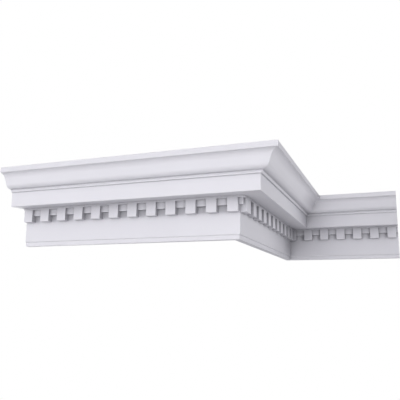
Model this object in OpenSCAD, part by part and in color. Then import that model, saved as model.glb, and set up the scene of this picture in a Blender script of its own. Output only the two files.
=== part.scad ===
// Dentil cornice that goes round a break in a wall: a front run, a return run and a wall run,
// mitred where they meet. Every run has the same section, and stands on its underside at Z = 0.

/* [Runs] */
// Front run, from its square-cut end to the outer corner of the frieze
front_run = 633; // [300:1:1200]
// Return run, from the frieze of the front run back to the frieze of the wall run
return_run = 630; // [250:1:1200]
// Wall run, from the inner corner of the frieze to its square-cut end
wall_run = 357; // [200:1:1200]

/* [Section] */
// Height from the underside to the top
height = 200; // [160:1:400]
// Thickness from the face of the frieze back to the wall
back_thickness = 19; // [10:0.5:50]
// Projection of the top fillet from the frieze
top_projection = 122; // [100:1:160]
// Height of the top fillet
top_fillet_height = 14; // [5:0.5:25]
// Height of the cyma under the top fillet
cyma_height = 37.5; // [30:0.5:60]
// Length of the level shelf at the cyma's foot
cyma_shelf = 4.5; // [0.5:0.5:10]
// Radius of the cyma's swell, unless there is less room
swell_radius = 18; // [5:0.5:30]
// Radius of the cyma's hollow, unless there is less room
hollow_radius = 22; // [5:0.5:30]
// Projection of the lower fillet, under the cyma
lower_fillet_projection = 75; // [70:0.5:90]
// Height of the lower fillet
lower_fillet_height = 7.5; // [3:0.5:12]
// Projection of the corona
corona_projection = 69; // [40:0.5:74]
// Height of the corona's face
corona_height = 39.5; // [15:0.5:60]
// Rise of the soffit from the corona's edge back to the dentil band
soffit_rise = 3; // [0:0.5:10]
// Height of the band that runs above the dentils
band_height = 4.5; // [2:0.5:15]
// Height of the foot, the setback along the bottom edge
foot_height = 11; // [5:0.5:20]
// Depth that the foot is set back behind the frieze
foot_setback = 3; // [1:0.5:6]

/* [Dentils] */
// Width of a dentil
dentil_width = 27.5; // [15:0.5:50]
// Clear gap between two dentils
dentil_gap = 27.2; // [15:0.1:50]
// Height of a dentil below the band
dentil_height = 34; // [20:0.5:45]
// Projection of the dentils and of the band above them
dentil_projection = 16.5; // [12:0.5:30]
// Height of the plate that bridges each gap, below the band
plate_height = 16.5; // [5:0.5:19]
// Projection of the plate
plate_projection = 10; // [3:0.5:11]
// Distance from the outer corner of the frieze to the nearest dentil on each side of it
outer_corner_margin = 1; // [0:0.5:15]
// Reach of the wall run's first dentil from the inner corner of the frieze
inner_corner_reach = 23; // [17:0.5:40]

/* [Hidden] */
primer_white = [0.93, 0.92, 0.94];
// overrun past a cut, so that no two faces of a cut lie in one plane
overrun = 1;
$fn = 96;

// levels, from the top down
fillet_z = height - top_fillet_height;
cyma_z = fillet_z - cyma_height;
corona_top_z = cyma_z - lower_fillet_height;
corona_z = corona_top_z - corona_height;
soffit_z = corona_z + soffit_rise;
band_z = soffit_z - band_height;
plate_z = band_z - plate_height;
dentil_z = band_z - dentil_height;

// the cyma: a level shelf, a swell, a straight, and a hollow that ends level under the top fillet
cyma_width = top_projection - lower_fillet_projection - cyma_shelf;
// share of the radii that there is room for, a little short of where the two arcs would touch
room = 0.98 * (pow(cyma_width, 2) + pow(cyma_height, 2)) / (2 * cyma_height * (swell_radius + hollow_radius));
swell = swell_radius * min(1, room);
hollow = hollow_radius * min(1, room);
swell_centre = [lower_fillet_projection + cyma_shelf, cyma_z + swell];
hollow_centre = [top_projection, fillet_z - hollow];
between = hollow_centre - swell_centre;
steepness = 90 + atan2(between[1], between[0]) - acos((swell + hollow) / norm(between));
outward = [sin(steepness), -cos(steepness)];
swell_end = swell_centre + swell * outward;
hollow_start = hollow_centre - hollow * outward;

// dentils
dentil_pitch = dentil_width + dentil_gap;
front_gaps = floor((front_run - outer_corner_margin - dentil_width) / dentil_pitch);
return_gaps = floor((return_run - dentil_projection - outer_corner_margin) / dentil_pitch);
wall_gaps = floor((wall_run - inner_corner_reach) / dentil_pitch);
// each dentil as [start, end] along its run
front_dentils = [for (k = [0:front_gaps])
    let (end = -outer_corner_margin - k * dentil_pitch) [end - dentil_width, end]];
// the return run's last dentil, at the outer corner, also takes up what is left of the pitch
return_dentils = [for (k = [0:return_gaps])
    let (start = return_run - dentil_projection - k * dentil_pitch)
    [k == return_gaps ? outer_corner_margin : start, start + dentil_width]];
wall_dentils = [for (k = [0:wall_gaps])
    let (end = inner_corner_reach + k * dentil_pitch) [end - dentil_width, end]];

// the origin is under the middle of the whole cornice, on the surface that it stands on
middle_x = (wall_run - front_run) / 2;
middle_y = (return_run + back_thickness - top_projection) / 2;

// Section of the moulding: X is the projection from the frieze, Y is the height.
module section() {
    difference() {
        polygon([
            [-back_thickness, 0],
            [-foot_setback, 0],
            [-foot_setback, foot_height],
            [0, foot_height],
            [0, plate_z],
            [plate_projection, plate_z],
            [plate_projection, band_z],
            [dentil_projection, band_z],
            [dentil_projection, soffit_z],
            [corona_projection, corona_z],
            [corona_projection, corona_top_z],
            [lower_fillet_projection, corona_top_z],
            [lower_fillet_projection, cyma_z],
            [swell_centre[0], cyma_z],
            swell_end,
            hollow_start,
            [top_projection, fillet_z],
            [top_projection, height],
            [-back_thickness, height]
        ]);
        translate(hollow_centre) circle(hollow);
    }
    intersection() {
        translate(swell_centre) circle(swell);
        translate([swell_centre[0], cyma_z]) square([swell, swell_end[1] - cyma_z]);
    }
}

// A straight run along X, with its frieze on Y = 0 and the wall behind it.
module run(start, end, dentils) {
    translate([end, 0, 0]) rotate([90, 0, -90]) linear_extrude(end - start) section();
    for (d = dentils)
        translate([d[0], -dentil_projection, dentil_z])
            cube([d[1] - d[0], dentil_projection + back_thickness / 2, dentil_height + band_height / 2]);
}

// Everything past a mitre through the corner at x: side is 1 beyond it and -1 before it,
// and turn is the direction that the mitre leans.
module past_mitre(x, turn, side) {
    reach = 2 * (top_projection + back_thickness + overrun);
    translate([x, 0, -overrun]) rotate([0, 0, 45 * turn])
        translate([side > 0 ? 0 : -reach, -reach, 0]) cube([reach, 2 * reach, height + 2 * overrun]);
}

module in_place() {
    translate([-middle_x, -middle_y, 0]) color(primer_white) children();
}

module front_length() {
    in_place() difference() {
        run(-front_run, top_projection + overrun, front_dentils);
        past_mitre(0, 1, 1);
    }
}

module return_length() {
    in_place() rotate([0, 0, 90]) difference() {
        run(-top_projection - overrun, return_run + back_thickness + overrun, return_dentils);
        past_mitre(0, -1, -1);
        past_mitre(return_run, -1, 1);
    }
}

module wall_length() {
    in_place() translate([0, return_run, 0]) difference() {
        run(-back_thickness - overrun, wall_run, wall_dentils);
        past_mitre(0, 1, -1);
    }
}

front_length();
return_length();
wall_length();
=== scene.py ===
"""Dentil cornice that goes round a break in a wall: three lengths with one section, mitred where they meet.

Each length is built again here from the section, with softened edges, in the place of its CAD node."""

import math

import bmesh
import bpy
from mathutils import Matrix, Vector


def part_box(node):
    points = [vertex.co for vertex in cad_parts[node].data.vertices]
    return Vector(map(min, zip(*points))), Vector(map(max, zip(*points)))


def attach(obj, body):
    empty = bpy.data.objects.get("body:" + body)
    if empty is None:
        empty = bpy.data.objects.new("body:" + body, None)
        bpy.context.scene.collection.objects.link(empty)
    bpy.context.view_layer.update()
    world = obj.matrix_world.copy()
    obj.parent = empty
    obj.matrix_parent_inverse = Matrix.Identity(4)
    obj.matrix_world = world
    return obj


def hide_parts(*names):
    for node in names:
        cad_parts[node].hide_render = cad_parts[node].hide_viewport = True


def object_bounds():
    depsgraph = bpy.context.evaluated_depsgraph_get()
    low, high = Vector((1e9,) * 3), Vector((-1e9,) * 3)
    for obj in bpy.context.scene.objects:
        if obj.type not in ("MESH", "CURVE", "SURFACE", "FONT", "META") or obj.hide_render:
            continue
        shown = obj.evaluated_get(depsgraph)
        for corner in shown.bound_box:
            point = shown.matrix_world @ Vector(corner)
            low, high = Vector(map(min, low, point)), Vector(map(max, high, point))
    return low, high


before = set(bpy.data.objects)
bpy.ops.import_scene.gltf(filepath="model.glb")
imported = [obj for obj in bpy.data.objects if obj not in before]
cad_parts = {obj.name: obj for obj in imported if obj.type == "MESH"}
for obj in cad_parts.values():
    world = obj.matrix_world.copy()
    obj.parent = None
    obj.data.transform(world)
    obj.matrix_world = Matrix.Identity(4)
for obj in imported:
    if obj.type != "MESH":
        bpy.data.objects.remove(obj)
cad_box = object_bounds()

MM = 0.001  # one millimetre, in metres
UP = Vector((0, 0, 1))
SAME_PLACE = 0.01  # places on a run that are nearer than this are the same, in millimetres
ROUNDING = 1e-6  # keeps a row of dentils that just fits from losing one

# ---- Section, in millimetres: projections from the frieze, and levels above the underside ----
HEIGHT = 200
BACK = 19  # thickness from the frieze back to the wall
TOP_PROJECTION = 122
TOP_FILLET_Z = 186
CYMA_Z = 148.5
CYMA_SHELF = 4.5  # level shelf at the cyma's foot
SWELL_RADIUS = 18
HOLLOW_RADIUS = 22
CYMA_STEPS = 20  # straight steps in each arc
LOWER_FILLET = 75
CORONA_TOP_Z = 141
CORONA = 69
CORONA_Z = 101.5
SOFFIT_Z = 104.5
BAND_Z = 100
PLATE_Z = 83.5
PLATE = 10
DENTIL = 16.5
DENTIL_Z = 66
FOOT_Z = 11
FOOT_SETBACK = 3

# ---- Dentils, in millimetres ----
DENTIL_WIDTH = 27.5
DENTIL_GAP = 27.2
PITCH = DENTIL_WIDTH + DENTIL_GAP
OUTER_CORNER_MARGIN = 1
INNER_CORNER_REACH = 23

# ---- Edges, in millimetres ----
EDGE = 1.0  # radius of the moulded edges that stand out; creases, mitres, sawn ends and the back are sharp
SOFT_EDGE = 2.9  # radius of the lower edges of the frieze and the lower fillet
SOFT_EDGES = ((0, FOOT_Z), (LOWER_FILLET, CORONA_TOP_Z))  # their (p, z)
EDGE_STEPS = 3
SMOOTH_BELOW = 12  # edges that turn by less than this stay as they are, in degrees


def cyma():
    """The cyma's points between its foot and its head: a level shelf, a swell, a straight and a hollow."""
    swell_centre = Vector((LOWER_FILLET + CYMA_SHELF, CYMA_Z + SWELL_RADIUS))
    hollow_centre = Vector((TOP_PROJECTION, TOP_FILLET_Z - HOLLOW_RADIUS))
    between = hollow_centre - swell_centre
    steepness = (math.pi / 2 + math.atan2(between.y, between.x)
                 - math.acos((SWELL_RADIUS + HOLLOW_RADIUS) / between.length))
    points = []
    for k in range(CYMA_STEPS + 1):
        a = steepness * k / CYMA_STEPS
        points.append(swell_centre + SWELL_RADIUS * Vector((math.sin(a), -math.cos(a))))
    for k in range(CYMA_STEPS):
        a = steepness * (1 - k / CYMA_STEPS)
        points.append(hollow_centre - HOLLOW_RADIUS * Vector((math.sin(a), -math.cos(a))))
    return [(p.x, p.y) for p in points]


class Run:
    """A straight length of the moulding. A point has s along the run, p out from the frieze and z up."""

    def __init__(self, corner, along, out, start, end):
        self.corner, self.along, self.out = corner, along, out
        self.start, self.end = start, end  # functions of a projection: where the run starts and ends there
        self.bm = bmesh.new()
        self.found = {}

    def vert(self, s, p, z):
        key = (round(s, 4), round(p, 4), round(z, 4))
        if key not in self.found:
            place = self.corner + (self.along * s + self.out * p + UP * z) * MM
            self.found[key] = self.bm.verts.new(place)
        return self.found[key]

    def face(self, points):
        """A flat face through the points, each (s, p, z), without the ones that fall together."""
        verts = []
        for point in points:
            v = self.vert(*point)
            if v not in verts:
                verts.append(v)
        if len(verts) > 2:
            self.bm.faces.new(verts)

    def strip(self, low, high, start=None, end=None):
        """A face between two lines that run the length, each (p, z), or between two places along it."""
        (p0, z0), (p1, z1) = low, high
        s0, s1 = (self.start(p0), self.start(p1)) if start is None else (start, start)
        e0, e1 = (self.end(p0), self.end(p1)) if end is None else (end, end)
        self.face([(s0, p0, z0), (e0, p0, z0), (e1, p1, z1), (s1, p1, z1)])


def section(gap_at_end):
    """The section's outline as (p, z), at an end that has a gap between dentils or a dentil."""
    foot = [(-BACK, 0), (-FOOT_SETBACK, 0), (-FOOT_SETBACK, FOOT_Z), (0, FOOT_Z)]
    dentil = [(0, DENTIL_Z), (DENTIL, DENTIL_Z), (DENTIL, BAND_Z)]
    gap = [(0, PLATE_Z), (PLATE, PLATE_Z), (PLATE, BAND_Z), (DENTIL, BAND_Z)]
    corona = [(DENTIL, SOFFIT_Z), (CORONA, CORONA_Z), (CORONA, CORONA_TOP_Z)]
    lower_fillet = [(LOWER_FILLET, CORONA_TOP_Z), (LOWER_FILLET, CYMA_Z)]
    top = [(TOP_PROJECTION, TOP_FILLET_Z), (TOP_PROJECTION, HEIGHT), (-BACK, HEIGHT)]
    return foot + (gap if gap_at_end else dentil) + corona + lower_fillet + cyma() + top


def add_plain_faces(run):
    """The faces that run the whole length: the foot, the soffit and all above it, and the back."""
    outline = section(True)
    soffit = outline.index((DENTIL, SOFFIT_Z))
    foot_end = outline.index((0, FOOT_Z)) + 1
    for line in (outline[:foot_end], outline[soffit:] + outline[:1]):
        for low, high in zip(line, line[1:]):
            run.strip(low, high)


def add_toothed_face(run, dentils, p, far, level_gap):
    """The frieze, or the band with the dentils below it: flat, with one straight side at the level far."""
    end = run.end(p)
    cut_dentil = [level_gap, DENTIL_Z] if p == DENTIL else [DENTIL_Z]
    outline = [(end, p, far), (run.start(p), p, far)]
    outline += [(run.start(p), p, z) for z in (cut_dentil if dentils[0][0] is None else [level_gap])]
    last_shows = False
    for a, b in dentils:
        if a is not None and a < end - SAME_PLACE:  # the mitre can take the whole front of the last dentil
            outline += [(a, p, level_gap), (a, p, DENTIL_Z)]
            last_shows = b is None
        if b is not None:
            outline += [(b, p, DENTIL_Z), (b, p, level_gap)]
    outline += [(end, p, z) for z in (cut_dentil[::-1] if last_shows else [level_gap])]
    run.face(outline)


def add_gaps(run, dentils):
    """The gaps between dentils, each with its stepped plate."""
    edges = [x for dentil in dentils for x in dentil if x is not None]
    if dentils[0][0] is not None:
        edges.insert(0, None)
    if dentils[-1][1] is not None:
        edges.append(None)
    plate = ((0, PLATE_Z), (PLATE, PLATE_Z), (PLATE, BAND_Z), (DENTIL, BAND_Z))
    for start, end in zip(edges[::2], edges[1::2]):
        for low, high in zip(plate, plate[1:]):
            run.strip(low, high, start, end)


def add_dentils(run, dentils):
    """The dentils' undersides and sides."""
    side = ((0, DENTIL_Z), (DENTIL, DENTIL_Z), (DENTIL, BAND_Z),
            (PLATE, BAND_Z), (PLATE, PLATE_Z), (0, PLATE_Z))
    for a, b in dentils:
        run.strip((0, DENTIL_Z), (DENTIL, DENTIL_Z), a, b)
        for s in (a, b):
            if s is not None:
                run.face([(s, p, z) for p, z in side])


def length_mesh(run, dentils):
    """Builds the run's faces. dentils are the places (start, end) along it; one that reaches an end
    has None there, and is cut by that end."""
    add_plain_faces(run)
    add_toothed_face(run, dentils, 0, FOOT_Z, PLATE_Z)
    add_toothed_face(run, dentils, DENTIL, SOFFIT_Z, BAND_Z)
    add_gaps(run, dentils)
    add_dentils(run, dentils)
    for place, cut in ((run.start, dentils[0][0] is None), (run.end, dentils[-1][1] is None)):
        run.face([(place(p), p, z) for p, z in section(not cut)])
    bmesh.ops.recalc_face_normals(run.bm, faces=run.bm.faces)


def same(a, b):
    return abs(a - b) < SAME_PLACE


def soften(run):
    """Marks how far each edge is rounded, as its share of the softest radius. The others are sharp."""
    layer = run.bm.edges.layers.float.new("bevel_weight_edge")
    for edge in run.bm.edges:
        if edge.calc_face_angle() < math.radians(SMOOTH_BELOW):
            continue
        ends = []
        for v in edge.verts:
            offset = (v.co - run.corner) / MM
            s, p, z = offset.dot(run.along), offset.dot(run.out), offset.z
            soft = any(same(p, q) and same(z, level) for q, level in SOFT_EDGES)
            ends.append((same(s, run.start(p)), same(s, run.end(p)), same(p, -BACK), soft))
        at_start, at_end, at_back, is_soft = (a and b for a, b in zip(*ends))
        if at_start or at_end or at_back or edge.calc_face_angle_signed() < 0:
            edge.smooth = False
        else:
            edge[layer] = (SOFT_EDGE if is_soft else EDGE) / SOFT_EDGE


def length(name, node, run, dentils, material):
    """One length of the cornice, in the place of its CAD node."""
    length_mesh(run, dentils)
    soften(run)
    mesh = bpy.data.meshes.new(name)
    run.bm.to_mesh(mesh)
    run.bm.free()
    mesh.shade_smooth()
    piece = bpy.data.objects.new(name, mesh)
    bpy.context.scene.collection.objects.link(piece)
    bevel = piece.modifiers.new("edges", "BEVEL")
    bevel.limit_method = "WEIGHT"
    bevel.width = SOFT_EDGE * MM
    bevel.segments = EDGE_STEPS
    bevel.use_clamp_overlap = True
    bevel.harden_normals = True
    bevel.miter_outer = "MITER_ARC"
    mesh.materials.append(material)
    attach(piece, "root")
    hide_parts(node)
    return piece


# ---- Paint: base colours, and painted shade that darkens corners that are closed in ----
PALE = (0.815, 0.805, 0.855, 1)
DEEP = (0.775, 0.765, 0.815, 1)
# Each painted shade has its reach in metres, the share of open surroundings at which it ends, and its
# darkest colour. Both are painted shade in the base colour: one for recesses, one for tight creases.
RECESS_PAINTED_SHADE = (0.15, 0.95, (0.3, 0.3, 0.31, 1))
CREASE_PAINTED_SHADE = (0.012, 0.5, (0.8, 0.8, 0.81, 1))
AO_SAMPLES = 12
# Each noise has its scale and its detail.
TONE_NOISE = (9, 3)
GLOSS_NOISE = (60, 2)
PEEL_NOISE = (900, 2)
ROUGHNESS = (0.52, 0.68)
SPECULAR = 0.35
PEEL_STRENGTH = 0.12
PEEL_DEPTH = 0.0002  # in metres


def primer(name):
    """White primer on moulded foam: a faint lavender white with a fine, matt orange peel, and painted shade
    in its base colour where recesses and creases are closed in.
    """
    material = bpy.data.materials.new(name)
    material.use_nodes = True
    nodes, links = material.node_tree.nodes, material.node_tree.links
    shader = nodes["Principled BSDF"]
    place = nodes.new("ShaderNodeTexCoord").outputs["Object"]

    def noise(scale, detail):
        node = nodes.new("ShaderNodeTexNoise")
        node.inputs["Scale"].default_value = scale
        node.inputs["Detail"].default_value = detail
        links.new(place, node.inputs["Vector"])
        return node.outputs["Fac"]

    def in_range(value, low, high, to_low, to_high):
        node = nodes.new("ShaderNodeMapRange")
        node.inputs["From Min"].default_value = low
        node.inputs["From Max"].default_value = high
        node.inputs["To Min"].default_value = to_low
        node.inputs["To Max"].default_value = to_high
        links.new(value, node.inputs["Value"])
        return node.outputs["Result"]

    tint = nodes.new("ShaderNodeMix")
    tint.data_type = "RGBA"
    tint.inputs["A"].default_value = DEEP
    tint.inputs["B"].default_value = PALE
    links.new(noise(*TONE_NOISE), tint.inputs["Factor"])

    # Painted shade: multiplies the colour towards the darkest colour where ambient occlusion finds the
    # surroundings within reach closed in.
    def with_painted_shade(colour, reach, open_at, darkest):
        around = nodes.new("ShaderNodeAmbientOcclusion")
        around.samples = AO_SAMPLES
        around.inputs["Distance"].default_value = reach
        painted_shade_amount = in_range(around.outputs["AO"], 0, open_at, 1, 0)
        painted_shade_amount.node.interpolation_type = "SMOOTHSTEP"
        shade = nodes.new("ShaderNodeMix")
        shade.data_type = "RGBA"
        shade.blend_type = "MULTIPLY"
        shade.inputs["B"].default_value = darkest
        links.new(painted_shade_amount, shade.inputs["Factor"])
        links.new(colour, shade.inputs["A"])
        return shade.outputs["Result"]

    # Painted shade in the base colour: first in recesses, then in tight creases.
    colour = with_painted_shade(with_painted_shade(tint.outputs["Result"], *RECESS_PAINTED_SHADE), *CREASE_PAINTED_SHADE)
    links.new(colour, shader.inputs["Base Color"])

    links.new(in_range(noise(*GLOSS_NOISE), 0, 1, *ROUGHNESS), shader.inputs["Roughness"])

    bump = nodes.new("ShaderNodeBump")
    bump.inputs["Strength"].default_value = PEEL_STRENGTH
    bump.inputs["Distance"].default_value = PEEL_DEPTH
    links.new(noise(*PEEL_NOISE), bump.inputs["Height"])
    links.new(bump.outputs["Normal"], shader.inputs["Normal"])
    shader.inputs["Specular IOR Level"].default_value = SPECULAR
    return material


def outer_corner():
    """The foot of the frieze's outer corner."""
    low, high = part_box("front_length")
    return Vector((high.x - TOP_PROJECTION * MM, low.y + TOP_PROJECTION * MM, low.z))


def build_cornice():
    outer = outer_corner()
    low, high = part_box("front_length")
    cut_left = (low.x - outer.x) / MM
    low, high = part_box("wall_length")
    inner = Vector((outer.x, high.y - BACK * MM, low.z))
    cut_right = (high.x - inner.x) / MM
    back_run = (inner.y - outer.y) / MM

    white = primer("primed_moulding")
    x_axis, y_axis = Vector((1, 0, 0)), Vector((0, 1, 0))

    count = math.floor((-cut_left - OUTER_CORNER_MARGIN - DENTIL_WIDTH) / PITCH + ROUNDING) + 1
    ends = [-OUTER_CORNER_MARGIN - k * PITCH for k in reversed(range(count))]
    front = Run(outer, x_axis, -y_axis, lambda p: cut_left, lambda p: p)
    length("front_run", "front_length", front, [(e - DENTIL_WIDTH, e) for e in ends], white)

    count = math.floor((back_run - DENTIL - OUTER_CORNER_MARGIN) / PITCH + ROUNDING) + 1
    starts = [back_run - DENTIL - k * PITCH for k in reversed(range(count))]
    dentils = [(s, s + DENTIL_WIDTH) for s in starts[:-1]] + [(starts[-1], None)]
    dentils[0] = (OUTER_CORNER_MARGIN, dentils[0][1])  # the corner dentil takes up what is left of the pitch
    back = Run(outer, y_axis, x_axis, lambda p: -p, lambda p: back_run - p)
    length("return_run", "return_length", back, dentils, white)

    first = INNER_CORNER_REACH - DENTIL_WIDTH
    starts = [first + k * PITCH for k in range(1, math.ceil((cut_right - first) / PITCH))]
    dentils = [(None, INNER_CORNER_REACH)]
    dentils += [(s, s + DENTIL_WIDTH if s + DENTIL_WIDTH < cut_right else None) for s in starts]
    wall = Run(inner, x_axis, -y_axis, lambda p: p, lambda p: cut_right)
    length("wall_run", "wall_length", wall, dentils, white)


# ---- Camera, from the photograph's viewing angle ----
CAMERA_FROM_CORNER = (350.4, -1190.3, -150.7)  # from the foot of the outer corner, in millimetres
LENS = 46.575  # in millimetres, on the sensor's width
SENSOR = 36
FARTHEST = 100  # how far the camera sees, in metres
YAW = 0.3652  # to the left of +Y, in radians
PITCH_UP = 0.1957
ROLL = 0.0109


def add_camera():
    outer = outer_corner()
    level = Vector((-math.sin(YAW), math.cos(YAW), 0))
    ahead = level * math.cos(PITCH_UP) + UP * math.sin(PITCH_UP)
    side = Vector((math.cos(YAW), math.sin(YAW), 0))
    over = side.cross(ahead)
    data = bpy.data.cameras.new("camera")
    data.lens = LENS
    data.sensor_width = SENSOR
    data.clip_end = FARTHEST
    camera = bpy.data.objects.new("camera", data)
    bpy.context.scene.collection.objects.link(camera)
    right = side * math.cos(ROLL) + over * math.sin(ROLL)
    up = over * math.cos(ROLL) - side * math.sin(ROLL)
    place = outer + Vector(CAMERA_FROM_CORNER) * MM
    camera.matrix_world = Matrix((
        (right.x, up.x, -ahead.x, place.x),
        (right.y, up.y, -ahead.y, place.y),
        (right.z, up.z, -ahead.z, place.z),
        (0, 0, 0, 1),
    ))
    bpy.context.scene.camera = camera


# ---- Lights: soft round lamps round the middle of the cornice ----
# Azimuth is from -Y towards +X and elevation is up, in degrees.
# The brightness is what the lamp gives to a surface that faces it in the middle, as a share of white.
LAMP_DISTANCE = 2.5  # in metres
LAMP_WIDTH = 1.2
LAMPS = (
    # name, azimuth, elevation, brightness
    ("front", 0, 0, 0.15),
    ("front_left", -45, 0, 0.25),
    ("front_right", 45, 0, 0.3),
    ("low", 0, -30, 0.14),
    ("high", 0, 30, 0.1),
    ("side_right", 120, 0, 0.3),
    ("back_left", -135, 0, 0.2),
    ("under_back", -135, -30, 0.22),
    ("top", 0, 90, 0.5),
)
FILL = (0.12, 0.12, 0.13, 1)  # the room's even light, as a share of white
WHITE = (1, 1, 1, 1)
FLOOR_DROP = 2.2  # from the underside of the cornice down to the floor, in metres
FLOOR_RADIUS = 3.5
FLOOR_COLOUR = (0.85, 0.85, 0.85, 1)
FLOOR_ROUGHNESS = 0.9
FLOOR_SIDES = 96
FLOOR_GLOW = (0.45, 0.45, 0.45, 1)  # added to what the camera sees of the floor, to go with the white room


def add_lamp(name, azimuth, elevation, brightness):
    low, high = cad_box
    azimuth, elevation = math.radians(azimuth), math.radians(elevation)
    towards = Vector((math.sin(azimuth) * math.cos(elevation), -math.cos(azimuth) * math.cos(elevation),
                      math.sin(elevation)))
    data = bpy.data.lights.new(name, "AREA")
    data.shape = "DISK"
    data.size = LAMP_WIDTH
    data.energy = brightness * (math.pi * LAMP_DISTANCE) ** 2
    lamp = bpy.data.objects.new(name, data)
    lamp.location = (Vector(low) + Vector(high)) / 2 + towards * LAMP_DISTANCE
    lamp.rotation_euler = towards.to_track_quat("Z", "Y").to_euler()
    lamp.visible_camera = False
    bpy.context.scene.collection.objects.link(lamp)


def add_room():
    """White to the camera, and a dim even light on everything else."""
    world = bpy.data.worlds.new("studio")
    bpy.context.scene.world = world
    world.use_nodes = True
    nodes, links = world.node_tree.nodes, world.node_tree.links
    colour = nodes.new("ShaderNodeMix")
    colour.data_type = "RGBA"
    colour.inputs["A"].default_value = FILL
    colour.inputs["B"].default_value = WHITE
    links.new(nodes.new("ShaderNodeLightPath").outputs["Is Camera Ray"], colour.inputs["Factor"])
    links.new(colour.outputs["Result"], nodes["Background"].inputs["Color"])


def add_floor():
    low, high = cad_box
    mesh = bpy.data.meshes.new("floor")
    bm = bmesh.new()
    bmesh.ops.create_circle(bm, cap_ends=True, segments=FLOOR_SIDES, radius=FLOOR_RADIUS)
    bm.to_mesh(mesh)
    bm.free()
    floor = bpy.data.objects.new("floor", mesh)
    floor.location = ((low[0] + high[0]) / 2, (low[1] + high[1]) / 2, low[2] - FLOOR_DROP)
    material = bpy.data.materials.new("floor")
    material.use_nodes = True
    shader = material.node_tree.nodes["Principled BSDF"]
    shader.inputs["Base Color"].default_value = FLOOR_COLOUR
    shader.inputs["Roughness"].default_value = FLOOR_ROUGHNESS
    shader.inputs["Emission Color"].default_value = FLOOR_GLOW
    seen = material.node_tree.nodes.new("ShaderNodeLightPath").outputs["Is Camera Ray"]
    material.node_tree.links.new(seen, shader.inputs["Emission Strength"])
    mesh.materials.append(material)
    bpy.context.scene.collection.objects.link(floor)


def add_stage():
    for lamp in LAMPS:
        add_lamp(*lamp)
    add_room()
    add_floor()
    bpy.context.scene.view_settings.view_transform = "Standard"


add_camera()
build_cornice()
add_stage()
